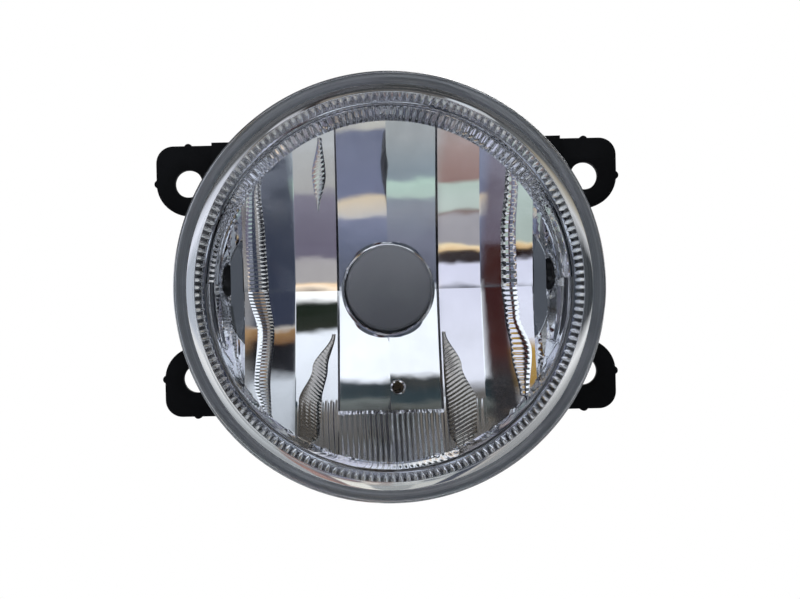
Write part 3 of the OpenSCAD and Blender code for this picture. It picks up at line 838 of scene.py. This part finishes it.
LEFT_IN = [
    (37, (0.45, 0.44, 0.43)), (22, (0.42, 0.40, 0.39)), (14, (0.20, 0.18, 0.18)),
    (4, (0.34, 0.32, 0.31)), (-7, (0.30, 0.30, 0.32)), (-9, (0.5, 0.3, 0.14)),
    (-12, (0.30, 0.18, 0.09)), (-14, (0.07, 0.06, 0.05)), (-22, (0.5, 0.52, 0.55)),
    (-31, (0.5, 0.52, 0.55)), (FOOT_Z, FOOT)]
LEFT_OUT = [
    (37, (0.07, 0.08, 0.11)), (20, (0.045, 0.055, 0.085)), (-7.5, (0.04, 0.048, 0.08)),
    (-8.2, (0.6, 0.55, 0.5)), (-8.8, (0.38, 0.22, 0.10)), (-11, (0.22, 0.12, 0.06)),
    (-12, (0.010, 0.010, 0.012)), (-17, (0.014, 0.014, 0.016)),
    (-19.5, (0.75, 0.80, 0.88)), (-32, (0.6, 0.64, 0.7)), (FOOT_Z, FOOT)]
FAR_RIGHT = [
    (36, (0.30, 0.31, 0.32)), (20, (0.40, 0.41, 0.42)), (8, PALE),
    (0.5, (0.045, 0.05, 0.056)), (-0.5, (0.04, 0.045, 0.05)), (-8, (0.62, 0.63, 0.66)),
    (-14, (0.45, 0.43, 0.38)), (-20, (0.28, 0.25, 0.20)), (-24, SHADE),
    (-37, (0.05, 0.052, 0.056))]

# each bearing runs up to the slope given with it
ROOM = [(-0.425, FAR_LEFT), (-0.305, RIGHT_IN), (-0.24, RIGHT_OUT), (-0.1, LEFT_MID_IN),
        (0.0, RIGHT_MID), (0.1, LEFT_MID), (0.24, RIGHT_MID_IN), (0.351, LEFT_OUT),
        (0.425, LEFT_IN), (1.0, FAR_RIGHT)]
SOFT = 0.012  # half the width over which one bearing passes into the next
SWAY = 0.045  # how much the bands ripple
# A strip's slope where it begins to fall, and its growth for each mm up or down.
FIRST_SLOPE, SLOPE_PER_MM = 0.065, 0.00925
LEVEL_EDGE = 0.066  # slopes nearer to level than this pass into the middle colour
MIDDLE_EDGE = 0.052


def level_colour(stops):
    """The colour at height 0, between the stops on each side of it."""
    (z1, c1), (z0, c0) = next(p for p in zip(stops, stops[1:]) if p[1][0] <= 0)
    k = z1 / (z1 - z0)
    return tuple(a + (b - a) * k for a, b in zip(c1, c0))


def height_stop(z):
    """Where on the ramp a strip's height z is seen; the strip's slope grows with |z|."""
    return 0.5 - math.copysign(FIRST_SLOPE + SLOPE_PER_MM * abs(z), z)


def tower(tree, height, bearing, stops):
    """The colours of one bearing, from top to bottom."""
    level = level_colour(stops)
    middle = FACING if -0.4 < bearing < 0.5 else level
    high = [(height_stop(z), c) for z, c in stops if z > 0]
    low = [(height_stop(z), c) for z, c in stops if z < 0]
    between = [(0.5 - LEVEL_EDGE, level), (0.5 - MIDDLE_EDGE, middle),
               (0.5 + MIDDLE_EDGE, middle), (0.5 + LEVEL_EDGE, level)]
    return ramp(tree, height, high + between + low)


def room_colour(tree):
    """The room's colour in each direction, as slopes of the mirror that would show it."""
    coords = tree.nodes.new("ShaderNodeTexCoord")
    split = tree.nodes.new("ShaderNodeSeparateXYZ")
    tree.links.new(coords.outputs["Generated"], split.inputs["Vector"])
    ripple = tree.nodes.new("ShaderNodeTexNoise")
    ripple.inputs["Scale"].default_value = 8.0
    ripple.inputs["Detail"].default_value = 3.0
    tree.links.new(coords.outputs["Generated"], ripple.inputs["Vector"])
    sway = math_node(tree, "MULTIPLY_ADD", ripple.outputs["Fac"], SWAY, -SWAY / 2)
    # dividing by 1 - Y turns a direction into slopes; 1.02 keeps it clear of zero
    nearness = math_node(tree, "SUBTRACT", 1.02, split.outputs["Y"])
    across = math_node(tree, "DIVIDE", split.outputs["X"], nearness)
    rise = math_node(tree, "DIVIDE", split.outputs["Z"], nearness)
    height = math_node(tree, "ADD", span(tree, rise, -1, 1), sway)
    colour = tower(tree, height, *ROOM[0])
    for (border, _), (bearing, stops) in zip(ROOM, ROOM[1:]):
        passed = span(tree, across, border - SOFT, border + SOFT)
        colour = mixed(tree, passed, colour, tower(tree, height, bearing, stops))
    return colour


def world_light():
    """A plain soft studio: the camera sees white, the mirror and glass see the room."""
    world = bpy.data.worlds.new("studio")
    bpy.context.scene.world = world
    world.use_nodes = True
    tree = world.node_tree
    tree.nodes.clear()
    room = tree.nodes.new("ShaderNodeBackground")
    tree.links.new(room_colour(tree), room.inputs["Color"])
    plain = tree.nodes.new("ShaderNodeBackground")
    plain.inputs["Color"].default_value = (1, 1, 1, 1)
    path = tree.nodes.new("ShaderNodeLightPath")
    mix = tree.nodes.new("ShaderNodeMixShader")
    tree.links.new(path.outputs["Is Camera Ray"], mix.inputs["Fac"])
    tree.links.new(room.outputs["Background"], mix.inputs[1])
    tree.links.new(plain.outputs["Background"], mix.inputs[2])
    out = tree.nodes.new("ShaderNodeOutputWorld")
    tree.links.new(mix.outputs["Shader"], out.inputs["Surface"])


# ---------------------------------------------------------------- stage, light, camera

def floor_sheet(level, half_width, front, back):
    """A pale floor that glows a little; neither mirror nor glass shows it."""
    bm = bmesh.new()
    grid(bm, [[Vector((x, y, level)) * MM for x in (-half_width, 0, half_width)]
              for y in (front, (front + back) / 2, back)])
    mesh = bpy.data.meshes.new("floor")
    bm.to_mesh(mesh)
    bm.free()
    paper = finish("pale_floor", (0.84, 0.84, 0.85), (0.87, 0.87, 0.875), (0.6, 0.8),
                   grain=0.2, cloud=0.004)
    shader = paper.node_tree.nodes["Principled BSDF"]
    shader.inputs["Emission Color"].default_value = (1, 1, 1, 1)
    shader.inputs["Emission Strength"].default_value = 0.45
    mesh.materials.append(paper)
    floor = bpy.data.objects.new("floor", mesh)
    floor.visible_glossy = False
    floor.visible_transmission = False
    bpy.context.scene.collection.objects.link(floor)


def softbox(name, energy, size, at, target, in_mirrors):
    """A square light, in metres and watts; glass never shows it directly."""
    light = bpy.data.lights.new(name, "AREA")
    light.energy = energy
    light.size = size
    lamp = bpy.data.objects.new(name, light)
    lamp.location = at
    aim = Vector(target) - Vector(at)
    lamp.rotation_euler = aim.to_track_quat("-Z", "Y").to_euler()
    lamp.visible_glossy = in_mirrors
    lamp.visible_transmission = False
    bpy.context.scene.collection.objects.link(lamp)


def front_camera(at, roll):
    """The camera in front of the lens, level but for a small roll in degrees."""
    optics = bpy.data.cameras.new("camera")
    optics.sensor_width = 36
    optics.lens = 93.1
    optics.shift_x = 0.0385
    optics.shift_y = 0.0325
    optics.clip_start = 0.02
    camera = bpy.data.objects.new("camera", optics)
    camera.location = Vector(at) * MM
    camera.rotation_euler = (Matrix.Rotation(math.radians(roll), 3, "Y")
                             @ Matrix.Rotation(math.pi / 2, 3, "X")).to_euler()
    bpy.context.scene.collection.objects.link(camera)
    bpy.context.scene.camera = camera


scene = bpy.context.scene
scene.view_settings.view_transform = "Standard"
scene.cycles.max_bounces = 24
scene.cycles.glossy_bounces = 10
scene.cycles.transmission_bounces = 20
world_light()
floor_sheet(level=-150, half_width=600, front=-40, back=540)
softbox("softbox", 1.7, 0.5, (-0.35, -0.45, 0.6), (0, 0, 0), in_mirrors=False)
softbox("rear_softbox", 2.2, 0.45, (0.25, 0.75, 0.5), (0, 0.03, 0), in_mirrors=True)
front_camera((-4.4, -430, -7.9), 1.2)
